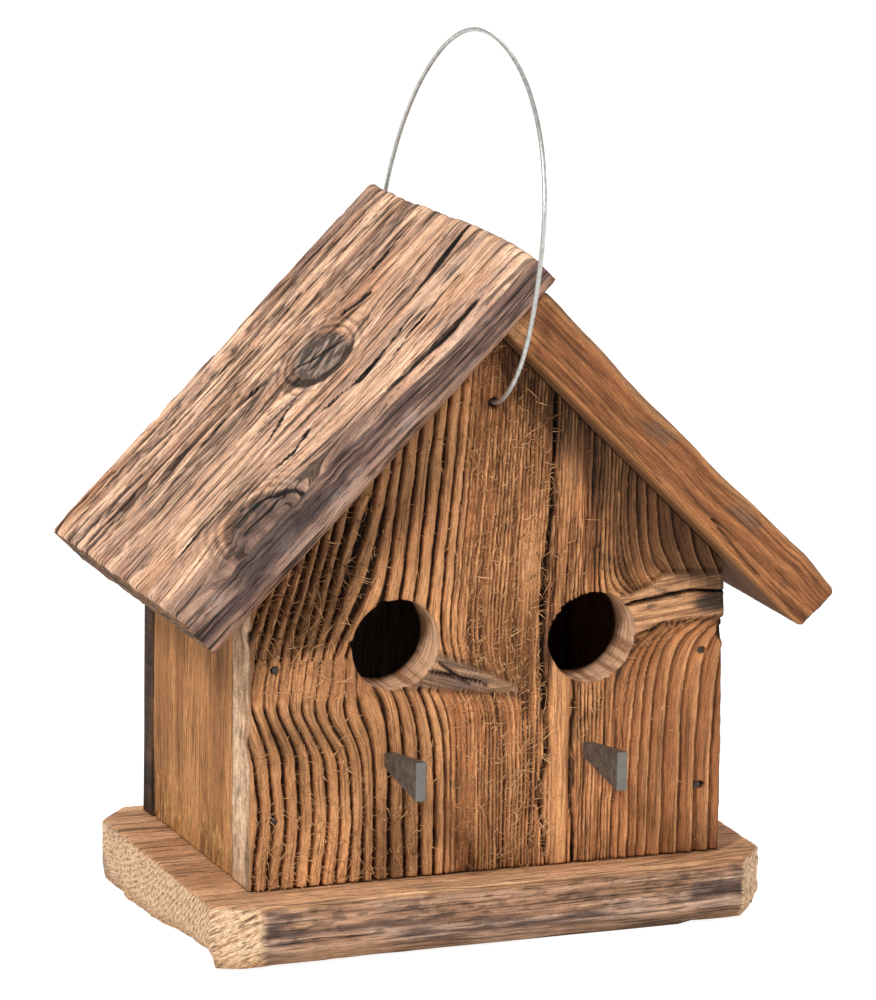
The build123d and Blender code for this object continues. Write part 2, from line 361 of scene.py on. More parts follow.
    def build(self, name, origin, u, v, out, tint, grain, material, node, slot, body="house"):
        """Writes the mesh with its colour and grain, standing in for a CAD node."""
        s, t, d = self.place
        origin, u, v, out = (np.array(a, float) for a in (origin, u, v, out))
        co = origin + s[:, None] * u + t[:, None] * v - d[:, None] * out
        order = -1 if np.cross(u, v) @ out < 0 else 1
        parts = (self.quads, self.triangles, self.quad_uvs, self.triangle_uvs)
        quads, tris, quad_uvs, tri_uvs = (part[:, ::order] for part in parts)
        piece = write_mesh(name, co * MM, quads, tris, material)
        mesh = piece.data
        uvs = np.concatenate([quad_uvs.reshape(-1, 2), tri_uvs.reshape(-1, 2)])
        uvs -= uvs.min(0)
        uvs = 0.005 + 0.99 * uvs / uvs.max()
        layer = mesh.uv_layers.new(name="OFBake")
        layer.data.foreach_set("uv", uvs.astype(np.float32).ravel())
        write_attributes(mesh, tint, grain)
        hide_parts(node)
        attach(piece, body)
        return piece


def add_object(name, data):
    """Puts a mesh, curve, light or camera in the scene."""
    thing = bpy.data.objects.new(name, data)
    bpy.context.scene.collection.objects.link(thing)
    return thing


def write_mesh(name, co, quads, tris, material):
    """A smooth-shaded mesh from its points, in metres, its four-sided cells and its triangles."""
    mesh = bpy.data.meshes.new(name)
    mesh.vertices.add(len(co))
    mesh.vertices.foreach_set("co", np.asarray(co, np.float32).ravel())
    loops = np.concatenate([np.asarray(quads).ravel(), np.asarray(tris).ravel()]).astype(np.int32)
    first_tri = 4 * len(quads)
    starts = np.concatenate([np.arange(len(quads)) * 4, first_tri + np.arange(len(tris)) * 3])
    mesh.loops.add(len(loops))
    mesh.loops.foreach_set("vertex_index", loops)
    mesh.polygons.add(len(starts))
    mesh.polygons.foreach_set("loop_start", starts.astype(np.int32))
    mesh.update(calc_edges=True)
    mesh.polygons.foreach_set("use_smooth", np.ones(len(starts), bool))
    mesh.materials.append(material)
    return add_object(name, mesh)


def write_attributes(mesh, tint, grain):
    attribute = mesh.attributes.new("tint", "FLOAT_COLOR", "POINT")
    rgba = np.concatenate([np.clip(tint, 0, 1), np.ones((len(tint), 1))], 1)
    attribute.data.foreach_set("color", rgba.astype(np.float32).ravel())
    attribute = mesh.attributes.new("grain", "FLOAT_VECTOR", "POINT")
    attribute.data.foreach_set("vector", np.stack(grain, -1).astype(np.float32).ravel())


# ---- materials ----

class Nodes:
    """Short calls for a material's nodes, which are named without their ShaderNode prefix."""

    def __init__(self, name):
        self.material = bpy.data.materials.new(name)
        self.material.use_nodes = True
        self.tree = self.material.node_tree
        self.tree.nodes.clear()
        output = self.tree.nodes.new("ShaderNodeOutputMaterial")
        self.shader = self.tree.nodes.new("ShaderNodeBsdfPrincipled")
        self.tree.links.new(self.shader.outputs[0], output.inputs[0])

    def add(self, kind, settings=None, **inputs):
        """A node with its settings and its inputs, each by name or, as i0 or i1, by number."""
        node = self.tree.nodes.new("ShaderNode" + kind)
        for key, value in (settings or {}).items():
            setattr(node, key, value)
        for key, value in inputs.items():
            self.feed(node.inputs[int(key[1:]) if key[0] == "i" and key[1:].isdigit() else key], value)
        return node

    def feed(self, socket, value):
        if isinstance(value, bpy.types.NodeSocket):
            self.tree.links.new(value, socket)
        else:
            socket.default_value = value

    def fix(self, socket, value):
        """Gives one of the shader's own sockets a plain value."""
        self.shader.inputs[socket].default_value = value

    def paint(self, socket, source):
        """Links one of the shader's own sockets."""
        self.tree.links.new(source, self.shader.inputs[socket])

    def math(self, operation, a, b=0.0):
        return self.add("Math", {"operation": operation}, i0=a, i1=b).outputs[0]

    def noise(self, vector, scale, detail=3.0, roughness=0.6):
        node = self.add("TexNoise", None, Vector=vector, Scale=scale, Detail=detail, Roughness=roughness)
        return node.outputs[0]

    def stretch(self, vector, scale):
        node = self.add("Mapping", None, Vector=vector, Scale=scale)
        return node.outputs[0]

    def remap(self, value, low, high, to_low, to_high):
        node = self.add("MapRange", None, Value=value)
        for socket, number in zip(("From Min", "From Max", "To Min", "To Max"),
                                  (low, high, to_low, to_high)):
            node.inputs[socket].default_value = number
        return node.outputs[0]

    def ramp(self, value, low, high, dark, light):
        """Display colours from dark at low to light at high."""
        node = self.add("ValToRGB", None, Fac=value)
        for stop, position, tone in zip(node.color_ramp.elements, (low, high), (dark, light)):
            stop.position = position
            stop.color = (*colour(*tone), 1)
        return node.outputs[0]

    def bump(self, height, strength, distance):
        node = self.add("Bump", None, Height=height, Strength=strength, Distance=distance)
        self.tree.links.new(node.outputs[0], self.shader.inputs["Normal"])


def wood_material(name, fibre=1.0, contrast=0.5, streak=0.3, rough=(0.72, 0.95), bump=0.6, hairlines=0.4):
    """Wood whose broad colour is on the mesh, with fine fibres along its grain."""
    m = Nodes(name)
    tint = m.add("Attribute", {"attribute_name": "tint"}).outputs["Color"]
    grain = m.add("Attribute", {"attribute_name": "grain"}).outputs["Vector"]
    broad = m.noise(m.stretch(grain, (0.9 * fibre, 0.07, 1.0)), 1.0, 4.0, 0.6)
    fine = m.noise(m.stretch(grain, (3.2 * fibre, 0.22, 1.0)), 1.0, 3.0, 0.65)
    speck = m.noise(m.stretch(grain, (2.2, 1.1, 1.0)), 1.0, 4.0, 0.7)
    hair = m.noise(m.stretch(grain, (1.1 * fibre, 0.022, 1.0)), 1.0, 2.0, 0.5)
    nick = m.noise(m.stretch(grain, (2.2 * fibre, 0.09, 1.0)), 1.0, 2.0, 0.5)
    shade = m.remap(broad, 0.3, 0.7, 1 - streak, 1 + streak)
    for value, *limits in (
        (fine, 0.28, 0.72, 1 - contrast, 1 + contrast),
        (speck, 0.32, 0.68, 0.76, 1.24),
        (hair, 0.40, 0.45, 1 - hairlines, 1.04),
        (nick, 0.37, 0.43, 1 - 0.8 * hairlines, 1.02),
    ):
        shade = m.math("MULTIPLY", shade, m.remap(value, *limits))
    scaled = m.add("VectorMath", {"operation": "SCALE"}, i0=tint, Scale=shade)
    m.paint("Base Color", scaled.outputs[0])
    m.paint("Roughness", m.remap(fine, 0.2, 0.8, rough[1], rough[0]))
    m.fix("Specular IOR Level", 0.22)
    height = m.math("ADD", m.math("MULTIPLY", fine, 0.6), m.math("MULTIPLY", speck, 0.4))
    m.bump(height, bump, 0.0008)
    return m.material


def whisker_material(name, dark, light):
    """Torn fibres, which drift between two colours."""
    m = Nodes(name)
    place = m.add("TexCoord").outputs["Object"]
    drift = m.noise(place, 160.0)
    m.paint("Base Color", m.ramp(drift, 0.3, 0.7, dark, light))
    m.fix("Roughness", 0.7)
    m.fix("Specular IOR Level", 0.25)
    return m.material


def metal_material(name, dark, light, metallic, rough, scale, bump=0.2):
    """Mottled metal, returned with its colour and the place that it's worked out from."""
    m = Nodes(name)
    place = m.add("TexCoord").outputs["Object"]
    patch = m.noise(place, scale, 6.0, 0.65)
    fine = m.noise(place, scale * 6, 4.0, 0.7)
    mixed = m.math("ADD", m.math("MULTIPLY", patch, 0.65), m.math("MULTIPLY", fine, 0.35))
    mottled = m.ramp(mixed, 0.35, 0.68, dark, light)
    m.paint("Base Color", mottled)
    m.paint("Roughness", m.remap(fine, 0.3, 0.7, rough[0], rough[1]))
    m.fix("Metallic", metallic)
    m.bump(mixed, bump, 0.0004)
    return m, mottled, place


def perch_material():
    """Dark mottled steel, with a brighter, sawn outer end."""
    m, mottled, place = metal_material(
        "perch_steel", (54, 47, 41), (128, 118, 108), 0.4, (0.45, 0.7), 260.0, 0.5)
    outer_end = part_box("perch_left")[0][1]
    along = m.add("SeparateXYZ", None, Vector=place).outputs["Y"]
    end = m.remap(along, outer_end + 0.0009, outer_end + 0.0004, 0.0, 0.6)
    mixed = m.add("Mix", {"data_type": "RGBA"}, Factor=end)
    m.feed(mixed.inputs[6], mottled)
    mixed.inputs[7].default_value = (*colour(122, 118, 114), 1)
    m.paint("Base Color", mixed.outputs[2])
    return m.material


# ---- front panel ----

panel_low, panel_high = corners_mm("front_panel")
base_low, base_high = corners_mm("base_board")
BASE_TOP = base_high[2]
HALF_WIDTH = panel_high[0]
FRONT_Y = panel_low[1]
FRONT_INNER_Y = panel_high[1]
APEX_X = -2.6
APEX_Z = panel_high[2]
ENTRANCES = ((-37.6, 115.3, 17.5), (41.1, 112.3, 17.5))
PIVOT_Z = frame["joints"][0]["pos_m"][2] / MM


def under_roof(x):
    return APEX_Z - np.abs(x - APEX_X)


def over_base(x):
    return BASE_TOP + 0 * x


RING_WIDTHS = (                       # the year rings' width from left to right
    (-130, 6.0), (-60, 5.8), (-30, 5.6), (-20, 4.2), (-14, 2.4), (-6, 1.9), (24, 2.0),
    (44, 2.0), (51, 2.6), (55, 4.4), (66, 4.8), (72, 6.6), (120, 6.4),
)
SPLIT = ((25, 205), (24.3, 162), (21.5, 139), (21.2, 123), (21.7, 101), (23.8, 69), (20.8, 56), (24.1, 24))
SECOND_SPLIT = ((33, 122), (34.3, 95), (33.6, 60), (35, 24))
LEFT_KNOT_CRACKS = (
    ((-24, 104), (-13, 101.5), (-1, 97.6)),
    ((-20, 107), (-12, 101), (-8, 98)),
)
RIGHT_KNOT_CRACK = ((52, 123), (58, 124.4), (69.5, 126), (80, 127.4), (97, 126.2))
NAIL_MARKS = ((-85.2, 109.3), (85.6, 104.1), (86.4, 51.5), (-85.2, 51.5))


def left_knot(x, z):
    """How far inside the left knot's lens a point is, in mm, and less than 0 outside it."""
    top = 110.7 - 0.463 * (x + 20)
    bottom = 97.6 - 0.14 * (x + 23.7)
    top = np.where(x < -38, 121 + 0.06 * (x + 38), top)
    bottom = np.where(x < -38, 108 - 0.12 * (x + 38), bottom)
    return np.minimum(np.minimum(top - z, z - bottom), np.minimum(11.5 - x, x + 70))


def right_knot_edges(x):
    """The right knot's top and bottom at x."""
    top = np.interp(x, (50, 56, 64, 70, 98), (127, 127.5, 130.5, 134.5, 133.2))
    bottom = np.interp(x, (50, 59, 70, 98), (110, 112, 116.2, 117))
    return top, bottom


def right_knot(x, z):
    """How far inside the right knot a point is, and less than 0 outside it."""
    top, bottom = right_knot_edges(x)
    return np.minimum(np.minimum(top - z, z - bottom), x - 50)


def ring_place(x, z):
    """The place, across the grain, where the line through (x, z) meets the panel's foot."""
    lean = 0.5 * np.exp(-(x + 90) / 45)
    rise = 8 * np.log1p(np.exp((z - 114) / 8))
    shift = lean * rise
    left = smooth(-40, -62, x)
    shift = shift - 7.5 * smooth(71, 97, z) * left + 3.0 * bell(z - 52, 20) * left
    shift += 1.6 * left * np.sin(z / 9 + x / 11) * bell(z - 84, 14)
    shift -= 6.0 * (z > 111.9) * fading(z - 112, 15) * bell(x + 56, 18)
    # Lines part around the left knot, whose axis falls to the right.
    axis = 104.5 - 0.36 * (x + 18)
    beside = smooth(-60, -48, x) * smooth(15, 6, x)
    below = 96.5 - 0.12 * (x + 24) - z
    tip = smooth(-24, -8, x)
    under = beside * (z < axis) * (6.5 - 3.5 * tip) * fading(below, 12 - 6 * tip)
    above = z - (111 - 0.46 * (x + 20))
    over = beside * smooth(-26, -18, x) * (z >= axis) * 3.5 * fading(above, 7)
    shift = shift - under + over
    right = smooth(40, 58, x)
    top, bottom = right_knot_edges(x)
    above = z - top
    under = bottom - z
    shift += right * (z > 121) * 9.5 * fading(above, 13)
    shift += right * (z <= 121) * (15 * fading(under, 5) + 5 * fading(under, 24))
    shift += 1.6 * (noise(x / 26, z / 60, 3) - 0.5)
    shift += 1.0 * (noise(x / 7, z / 20, 4) - 0.5)
    return x - shift


def ring_phase(q):
    """Which year ring a place is in, and how far across it, as one number."""
    line = np.arange(-150, 160, 0.25)
    width = np.interp(line, *zip(*RING_WIDTHS))
    width = width * (0.78 + 0.44 * value_noise(line / 5.5, line * 0, 9))
    total = np.concatenate([[0], np.cumsum(0.25 / width)[:-1]])
    return np.interp(q, line, total)


def front_wear_and_shadow(x, z):
    """Darker areas, from 0 to 1: dark worn patches, darker above the left ledge, and painted shadow in bands
    under the roof.
    """
    wear_and_shadow = 1.15 * smooth(-42, -72, x) * smooth(111.5, 119, z)
    wear_and_shadow += 0.9 * bell(np.hypot((x + 36) * 2.0, z - 38), 24)
    wear_and_shadow += 0.65 * bell(np.hypot(x + 80, (z - 84) * 2.0), 20)
    wear_and_shadow += 0.55 * bell(np.hypot((x - 4) * 1.7, z - 172), 28)
    wear_and_shadow += 0.95 * smooth(32, 44, x) * smooth(128, 142, z)
    wear_and_shadow += 0.5 * smooth(46, 30, z) * smooth(74, 90, x)
    # Painted shadow in bands under the roof, on both sides.
    under = under_roof(x) - z
    wear_and_shadow = wear_and_shadow + 1.15 * smooth(34, 6, under) * smooth(-2, 10, x) + 0.95 * smooth(17, 4, under) * (x <= 0)
    wear_and_shadow += 0.75 * smooth(56, 30, under) * smooth(-14, -28, x)
    return np.clip(wear_and_shadow, 0, 1)


def front_fields(x, z):
    """The brushed face: how deep it is worn, its colour with painted shade and highlights, and the place
    across its rings.
    """
    q = ring_place(x, z)
    phase = ring_phase(q)
    ring = np.floor(phase)
    f = phase - ring
    along = noise(ring * 3.7, z / 26, 21)
    wide = smooth(-8, -20, q)
    saw = smooth(49, 54, q)
    fine = (1 - wide) * (1 - saw)
    inside_1 = left_knot(x, z)
    inside_2 = right_knot(x, z)
    knot_1 = smooth(-0.6, 0.9, inside_1) * smooth(-56, -50, x)
    knot = np.maximum(knot_1, smooth(-0.5, 0.8, inside_2))
    ledge = smooth(-42, -50, x) * smooth(112.8, 111.0, z) * smooth(93, 98, z)
    wear_and_shadow = front_wear_and_shadow(x, z)
    upper_left = smooth(-30, -70, x) * smooth(112, 135, z)

    # Left: round, hairy ridges between deep worn grooves.
    ridge_half = 0.29 + 0.16 * along - 0.13 * upper_left * (0.6 + 0.8 * noise(ring * 2.3, z / 12, 24))
    away = np.abs(f - 0.5 + 0.10 * (noise(ring * 5.1, z / 6, 22) - 0.5))
    groove = smooth(ridge_half - 0.08, ridge_half + 0.10, away)
    deep = 2.4 + 1.8 * upper_left + 1.0 * smooth(95, 60, z)
    relief_wide = deep * (0.7 + 0.55 * along) * groove + 0.55 * (2 * away) ** 2
    # Right: each ring climbs to a crest and drops away.
    climb = np.clip(f / 0.86, 0, 1)
    drop = smooth(0.86, 0.97, f)
    rise = 2.6 * (0.55 + 0.75 * along)
    relief_saw = rise * (1 - climb ** 0.6) + rise * drop
    # Middle: fine lines, torn in places.
    fine_1 = noise(q / 1.15, z / 50, 31, 1)
    fine_2 = noise(q / 2.3, z / 60, 32, 2)
    cut = smooth(0.50, 0.72, 1 - fine_1)
    pitch = 0.5 + 0.5 * np.cos(2 * np.pi * (q / 1.5 + 0.9 * noise(q / 6, z / 70, 33)))
    cut = np.maximum(0.7 * cut, smooth(0.35, 0.9, pitch) * (0.45 + 0.85 * noise(q / 2, z / 12, 34)))
    cut_2 = smooth(0.48, 0.70, 1 - fine_2)
    relief_fine = 1.5 * cut + 0.6 * cut_2
    relief = wide * relief_wide + saw * relief_saw + fine * relief_fine
    hairy = (noise(x / 1.2, z / 2.4, 23, 2) - 0.5) * (0.9 * wide + 0.8 * fine + 0.35 * saw)
    relief = relief + 0.95 * hairy + 0.45 * (wide + fine)

    # Colour values: the grooves' dark is grain colour with painted shade, painted shade darkens the drop
    # after each saw crest, and a painted highlight lightens the saw crests.
    groove_tone_with_shade = 1 - groove
    saw_tone_with_highlight_and_shade = 0.30 + 0.55 * climb * (1 - drop) + 0.25 * smooth(0.7, 0.84, f) * (1 - drop)
    tone_fine = 1.02 - 0.8 * cut - 0.3 * cut_2
    tone = wide * groove_tone_with_shade + saw * saw_tone_with_highlight_and_shade + fine * tone_fine + 0.35 * hairy

    # A proud ledge left of the hole, with thin lines in place of grooves.
    thin = smooth(0.40, 0.49, np.abs(f - 0.5))
    relief = mix(relief, 0.25 + 0.8 * thin + 0.9 * noise(x / 1.6, z / 2.2, 44), ledge)
    tone = mix(tone, 1.05 - 0.75 * thin - 0.5 * noise(x / 1.4, z / 3, 45), ledge)

    # The smooth strips beside the split.
    strip = smooth(24.5, 25.5, x) * smooth(32.5, 31, x) * smooth(118, 100, z)
    strip = np.maximum(strip, smooth(10, 13, x) * smooth(20, 17, x) * bell(z - 142, 24))
    strip = np.maximum(strip, 0.8 * smooth(27, 30, x) * smooth(38, 35, x) * bell(z - 178, 18))
    relief = relief * (1 - 0.8 * strip) + 0.25 * strip
    tone = mix(tone, 0.75 + 0.4 * fine_1, strip)

    # Knots stay proud and smooth, with a dark lip.
    swirl = noise(np.where(x < 30, (z + 0.34 * x) / 1.6, (z - 0.1 * x) / 1.3), x / 22, 41)
    relief = mix(relief, 0.3 + 0.6 * swirl, knot)
    lip = bell(inside_1 + 0.9, 1.1) * smooth(-52, -44, x) + bell(inside_2 + 0.9, 1.0) * (x > 52)
    relief += 0.9 * lip

    # Splits, cracks, nail marks, the wire's hole and a chipped corner: carved in, and painted near-black as
    # painted shade in these recesses.
    split = np.maximum(crack(x, z, SPLIT, 3.0, 51), 0.8 * crack(x, z, SECOND_SPLIT, 1.8, 52))
    split = split * (0.5 + 0.5 * smooth(0.3, 0.5, noise(x / 9, z / 9, 53)))
    knot_crack = np.maximum.reduce([crack(x, z, line, 0.8, 54) for line in LEFT_KNOT_CRACKS])
    right_crack = crack(x, z, RIGHT_KNOT_CRACK, 1.6, 55)
    recess_and_shade = np.maximum(np.maximum(split, right_crack), 0.85 * knot_crack)
    for cx, cz in NAIL_MARKS:
        recess_and_shade = np.maximum(recess_and_shade, smooth(1.9, 1.1, np.hypot(x - cx, (z - cz) * 1.3)))
    recess_and_shade = np.maximum(recess_and_shade, smooth(2.3, 1.3, np.hypot(x, z - PIVOT_Z)))
    chip = smooth(4.2, 2.6, np.hypot((x - 95) * 1.1, (z - 111.5) * 0.75))
    relief = relief + 3.6 * recess_and_shade + 2.5 * chip
    patch = smooth(0.62, 0.74, noise(x / 8, z / 3, 61)) * smooth(0.4, 2, inside_2)
    patch = np.maximum(0.7 * patch, smooth(7.5, 4, np.hypot((x - 89) * 0.8, (z - 122.5) * 1.7)))
    relief += wear_and_shadow * wide

    # Dark grooves with painted shade, warm slopes, and light crests with a painted highlight; then the
    # knots, the worn places with painted shadow under the roof, and painted shade in the recesses.
    tint = blend((54, 31, 18), (162, 106, 66), smooth(0.0, 0.5, tone))
    tint = blend(tint, (200, 144, 97), smooth(0.5, 1.05, tone))
    drift = noise(x / 20, z / 40, 71)
    tint = blend(tint, tint * np.array([1.18, 1.15, 1.12]), smooth(0.45, 0.7, drift))
    tint = blend(tint, tint * np.array([0.78, 0.74, 0.7]), smooth(0.5, 0.28, drift))
    knot_tint = blend((190, 144, 106), (118, 90, 70), smooth(0.35, 0.7, swirl))
    red_knot = blend((204, 152, 108), (142, 98, 68), smooth(0.35, 0.68, swirl))
    knot_tint = np.where((x > 30)[..., None], red_knot, knot_tint)
    grey = smooth(-24, -14, x) * smooth(4, -4, x)
    knot_tint = blend(knot_tint, (96, 86, 84), 0.3 * grey * (x < 20))
    tint = blend(tint, knot_tint, knot * 0.95)
    tint = blend(tint, (66, 42, 28), 0.45 * lip)
    tint = blend(tint, (56, 48, 46), patch * 0.85)
    tint = blend(tint, tint * 0.16, wear_and_shadow * 0.9 * (1 - 0.32 * np.clip(tone, 0, 1)))
    # Painted shadow: darker right under the right roof board.
    tint = tint * (1 - 0.4 * smooth(30, 10, under_roof(x) - z) * smooth(18, 30, x))[:, None]
    # Painted shade: near-black in the splits, cracks, nail marks, the wire's hole and the chip.
    tint = blend(tint, (20, 13, 9), np.clip(recess_and_shade ** 0.45 + 0.9 * chip, 0, 1) * 0.93)
    return np.clip(relief, 0, 7.0), tint, q


def make_front_panel():
    board = Board([-HALF_WIDTH, APEX_X, HALF_WIDTH], over_base, under_roof,
                  FRONT_INNER_Y - FRONT_Y, 0.5, 190, 12, ENTRANCES)
    x, z, d = board.s, board.t, board.d
    relief, tint, q = front_fields(x, z)
    relief = np.where(board.kind == BORE, np.minimum(relief, 1.5), relief)
    wall = board.kind == WALL
    # The left cut edge is pale and wavy, the right one worn.
    fade = fading(HALF_WIDTH - np.abs(x), 3)
    wave = 0.9 * noise(z / 17, d / 30 + (x > 0) * 9, 81) + 0.4 * noise(z / 4, d / 6, 82)
    slide = -np.sign(x) * wave * fade
    board.shape(relief, 1.0, 0.6, (slide, 0 * z))
    curve = noise((d + 6 * np.sin(z / 26)) / 2.3, z / 60, 83)
    cut = blend((222, 186, 152), (192, 150, 114), smooth(0.35, 0.7, curve))
    cut = blend(cut, (150, 100, 60), smooth(3.5, 0.6, d) * 0.7)
    worn = blend((150, 104, 64), (92, 62, 40), noise(z / 14, d / 3, 84))
    edge = 0.8 * np.where((x < 0)[:, None], cut, worn)
    end_grain = blend((150, 106, 66), (92, 62, 38), noise(x / 1.2, d / 8, 85))
    bore_lines = noise((x * 0.8 + 0.25 * z) / 1.3, d / 22 + z / 40, 86)
    bore = blend((226, 180, 144), (166, 122, 90), smooth(0.35, 0.72, bore_lines))
    # Painted shade: the bore is darker deeper in.
    bore = blend(bore, (96, 66, 42), smooth(13, 22, d) * 0.6)
    tint = repaint(
        tint, (board.on_sides(START, FAR_S), edge), (board.on_sides(NEAR, FAR_T), end_grain),
        (board.kind == BORE, bore), (board.kind == BACK, (128, 92, 58)))
    across = np.where(wall | (board.kind == BORE), d * 1.3 + 40, q)
    in_knots = (board.kind == FACE) & ((right_knot(x, z) > 0) | ((left_knot(x, z) > 0) & (x > -50)))
    lying = np.where(x < 0, z + 0.34 * x, z - 0.1 * x) + 300
    along = np.where(in_knots, x, z)
    across = np.where(in_knots, lying, across)
    across = np.where(wall & (board.side == START), d * 0.1 + 40, across)
    material = wood_material("front_wood", 1.0, 0.36, 0.24, hairlines=0.42)
    board.build("front_panel_wood", (0, FRONT_Y, 0), (1, 0, 0), (0, 0, 1), (0, -1, 0),
                tint, (across, along, 0 * z), material, "front_panel", "front_wood")


# ---- torn fibres ----

def fibre_mesh(name, roots, ways, bends, lengths, radii, material):
    """Thin tapered curved hairs, each a closed three-sided tube."""
    steps, sides = 4, 3
    share = np.linspace(0, 1, steps + 1)
    path = roots[:, None] + lengths[:, None, None] * (
        share[None, :, None] * ways[:, None] + (share ** 2)[None, :, None] * bends[:, None])
    tangent = np.gradient(path, axis=1)
    tangent /= np.linalg.norm(tangent, axis=2, keepdims=True)
    helper = np.array([0.31, 0.83, 0.46])
    side_1 = np.cross(tangent, helper)
    side_1 /= np.linalg.norm(side_1, axis=2, keepdims=True)
    side_2 = np.cross(tangent, side_1)
    width = np.maximum(radii[:, None] * (1 - share) ** 0.6, 0.02)
    angle = np.arange(sides) * 2 * np.pi / sides
    ring = (np.cos(angle)[None, None, :, None] * side_1[:, :, None]
            + np.sin(angle)[None, None, :, None] * side_2[:, :, None])
    points = path[:, :, None] + width[:, :, None, None] * ring
    count = len(roots)
    index = np.arange(count * (steps + 1) * sides).reshape(count, steps + 1, sides)
    a, b = index[:, :-1], index[:, 1:]
    quads = np.stack([a, np.roll(a, -1, 2), np.roll(b, -1, 2), b], -1).reshape(-1, 4)
    ends = np.concatenate([index[:, 0, ::-1], index[:, -1]])
    return write_mesh(name, points.reshape(-1, 3) * MM, quads, ends, material)


def make_front_fibres(count=4300):
    rng = np.random.default_rng(11)
    tries = count * 6
    x = rng.uniform(-93, 93, tries)
    z = rng.uniform(BASE_TOP + 1, APEX_Z - 3, tries)
    weight = 0.16 + 1.1 * smooth(-30, -60, x) * smooth(110, 130, z)
    weight += 1.15 * smooth(-16, -4, x) * smooth(26, 18, x)
    weight += 1.3 * smooth(62, 34, z) * smooth(-24, -50, x)
    tangle = smooth(-54, -64, x) * smooth(110, 113, z) * smooth(152, 134, z)
    weight = weight + 2.4 * tangle + 0.9 * smooth(-48, -54, x) * smooth(95, 100, z) * smooth(116, 110, z)
    weight += 0.8 * bell(x + 34, 9) * smooth(66, 50, z)
    weight += 0.5 * smooth(95, 70, z) * smooth(-40, -60, x)
    weight += 0.9 * bell(x - 22, 2.5)
    weight = weight * (1 - 0.75 * smooth(46, 54, x)) * (left_knot(x, z) < 1) * (right_knot(x, z) < 0)
    inside = z < under_roof(x) - 3
    for cx, cz, radius in ENTRANCES:
        inside &= np.hypot(x - cx, z - cz) > radius + 5.0
    inside &= np.hypot(x, z - PIVOT_Z) > 6.5
    keep = np.flatnonzero(inside & (rng.uniform(0, 1.6, tries) < weight))[:count]
    x, z, tangled = x[keep], z[keep], tangle[keep]
    n = len(x)
    relief = front_fields(x, z)[0]
    y = FRONT_Y + relief + 0.1
    roots = np.stack([x, y, z], -1)
    up = rng.choice([-1, 1], n)
    turn = rng.normal(0, 0.9, n)
    out = rng.uniform(0.05, 0.6, n)
    ways = np.stack([np.sin(turn), -out, up * np.cos(turn)], -1)
    bends = np.stack([rng.normal(0, 0.6, n), -rng.uniform(-0.2, 0.3, n), rng.normal(0, 0.55, n)], -1)
    lengths = (rng.gamma(3, 0.5, n) + 0.9) * (1 + 1.6 * bell(x - 22, 3) * (z < 95) + 0.7 * tangled)
    radii = rng.uniform(0.12, 0.27, n)
    # Fibres in the dark worn places and in the painted shadow under the roof are darker.
    in_wear_and_shadow = rng.uniform(0, 1, n) < 0.85 * front_wear_and_shadow(x, z)
    kinds = (("front_fibres", ~in_wear_and_shadow, (158, 104, 60), (232, 184, 130)),
             ("front_fibres_dark", in_wear_and_shadow, (70, 42, 24), (150, 100, 60)))
    for name, which, dark, light in kinds:
        piece = fibre_mesh(name, roots[which], ways[which], bends[which], lengths[which], radii[which],
                           whisker_material(name, dark, light))
        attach(piece, "house")


# ---- back and sides ----

def plain_fields(across, along, seed, width=7.0, depth=0.5):
    """Worn flat-sawn wood: a broad ring pattern, fine lines, and a depth."""
    bow = 5 * (noise(across / 60, along / 110, seed) - 0.5)
    q = across + bow
    broad = noise(q / width, along / 120, seed + 1)
    fine = noise(q / 1.6, along / 45, seed + 2)
    relief = depth * (0.6 * smooth(0.4, 0.7, 1 - fine) + 0.6 * smooth(0.4, 0.7, 1 - broad))
    return relief, broad, fine, q


def make_side(name, side):
    low, high = corners_mm(name)
    thickness = high[0] - low[0]
    outer_top = high[2] - thickness          # the top slopes down to the outer face
    board = Board([low[1], high[1]], over_base, lambda y: outer_top + 0 * y, thickness, 0.8, 150, 8)
    y, z = board.s, board.t
    relief, broad, fine, q = plain_fields(y, z, 101 if side < 0 else 131, 9.0, 0.4)
    fuzz = smooth(62, 27, z)
    relief += (0.2 + fuzz) * 1.1 * noise(y / 1.1, z / 3.5, 140)
    board.shape(relief, 0.8, 0.6, None, 1.0)
    tint = blend((184, 128, 79), (152, 101, 58), smooth(0.35, 0.65, broad))
    tint = blend(tint, (122, 78, 40), smooth(0.62, 0.85, 1 - fine) * 0.6)
    tint = blend(tint, (196, 148, 92), fuzz * 0.9 * smooth(0.4, 0.65, noise(y / 1.2, z / 5, 141)))
    tint = blend(tint, (120, 80, 46), smooth(0.5, 0.75, noise(y / 30, z / 60, 142)) * 0.35)
    origin = (low[0] if side < 0 else high[0], 0, 0)
    board.build(name + "_wood", origin, (0, 1, 0), (0, 0, 1), (side, 0, 0), tint,
                (q, z, 0 * z + side), SIDE_WOOD, name, "side_wood")


